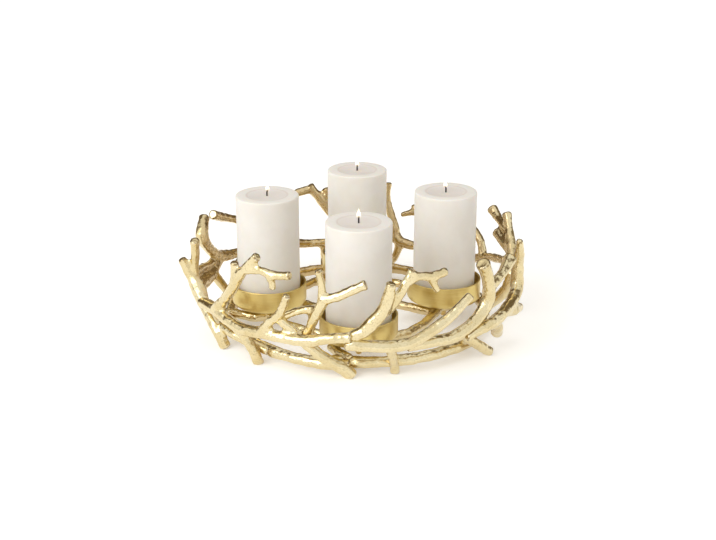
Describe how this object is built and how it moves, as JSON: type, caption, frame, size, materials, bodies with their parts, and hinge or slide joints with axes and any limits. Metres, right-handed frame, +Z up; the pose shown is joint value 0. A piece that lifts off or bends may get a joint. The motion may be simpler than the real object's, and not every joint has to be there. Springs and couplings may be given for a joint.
{
  "type": "advent candle holder",
  "caption": "Round advent wreath of forked gold-plated cast branches that stands on its lowest tips and holds pillar candles in brushed cups.",
  "frame": {"origin": "on the table, in the middle of the wreath's outline seen from above", "axes": "+Z up, -Y towards the viewer in the picture, +X to the viewer's right"},
  "size_m": [0.437, 0.4037, 0.181],
  "materials": {
    "plated_branches": "pale champagne-gold plating on a slightly hammered casting",
    "brushed_cups": "brushed satin gold",
    "fasteners": "satin",
    "candle_wax": "smooth ivory wax",
    "wick_cotton": "burnt cotton"
  },
  "bodies": {
    "holder": {"ring_arc_1": "plated_branches", "ring_arc_2": "plated_branches", "ring_arc_3": "plated_branches", "ring_arc_4": "plated_branches", "ring_arc_5": "plated_branches", "ring_arc_6": "plated_branches", "branch_left_low": "plated_branches", "branch_front_left": "plated_branches", "branch_front_centre": "plated_branches", "branch_front_low": "plated_branches", "branch_front_right": "plated_branches", "branch_right": "plated_branches", "branch_right_outer": "plated_branches", "branch_right_back": "plated_branches", "branch_back_right": "plated_branches", "branch_back_right_high": "plated_branches", "branch_back": "plated_branches", "branch_back_left": "plated_branches", "branch_left": "plated_branches", "branch_back_left_low": "plated_branches", "branch_back_left_high": "plated_branches", "branch_back_low": "plated_branches", "cup_arm_right": "plated_branches", "cup_arm_back": "plated_branches", "cup_arm_left": "plated_branches", "cup_arm_front": "plated_branches", "cup_right": "brushed_cups", "cup_back": "brushed_cups", "cup_left": "brushed_cups", "cup_front": "brushed_cups", "cup_screws": "fasteners", "cup_washers": "fasteners", "cup_nuts": "fasteners"},
    "right_candle": {"candle_right": "candle_wax", "wick_right": "wick_cotton"},
    "back_candle": {"candle_back": "candle_wax", "wick_back": "wick_cotton"},
    "left_candle": {"candle_left": "candle_wax", "wick_left": "wick_cotton"},
    "front_candle": {"candle_front": "candle_wax", "wick_front": "wick_cotton"}
  },
  "joints": [
    {"name": "right_candle_lift", "type": "slide", "parent": "holder", "child": "right_candle", "axis": [0, 0, 1], "range_m": [0, 0.15]},
    {"name": "back_candle_lift", "type": "slide", "parent": "holder", "child": "back_candle", "axis": [0, 0, 1], "range_m": [0, 0.15]},
    {"name": "left_candle_lift", "type": "slide", "parent": "holder", "child": "left_candle", "axis": [0, 0, 1], "range_m": [0, 0.15]},
    {"name": "front_candle_lift", "type": "slide", "parent": "holder", "child": "front_candle", "axis": [0, 0, 1], "range_m": [0, 0.15]}
  ]
}
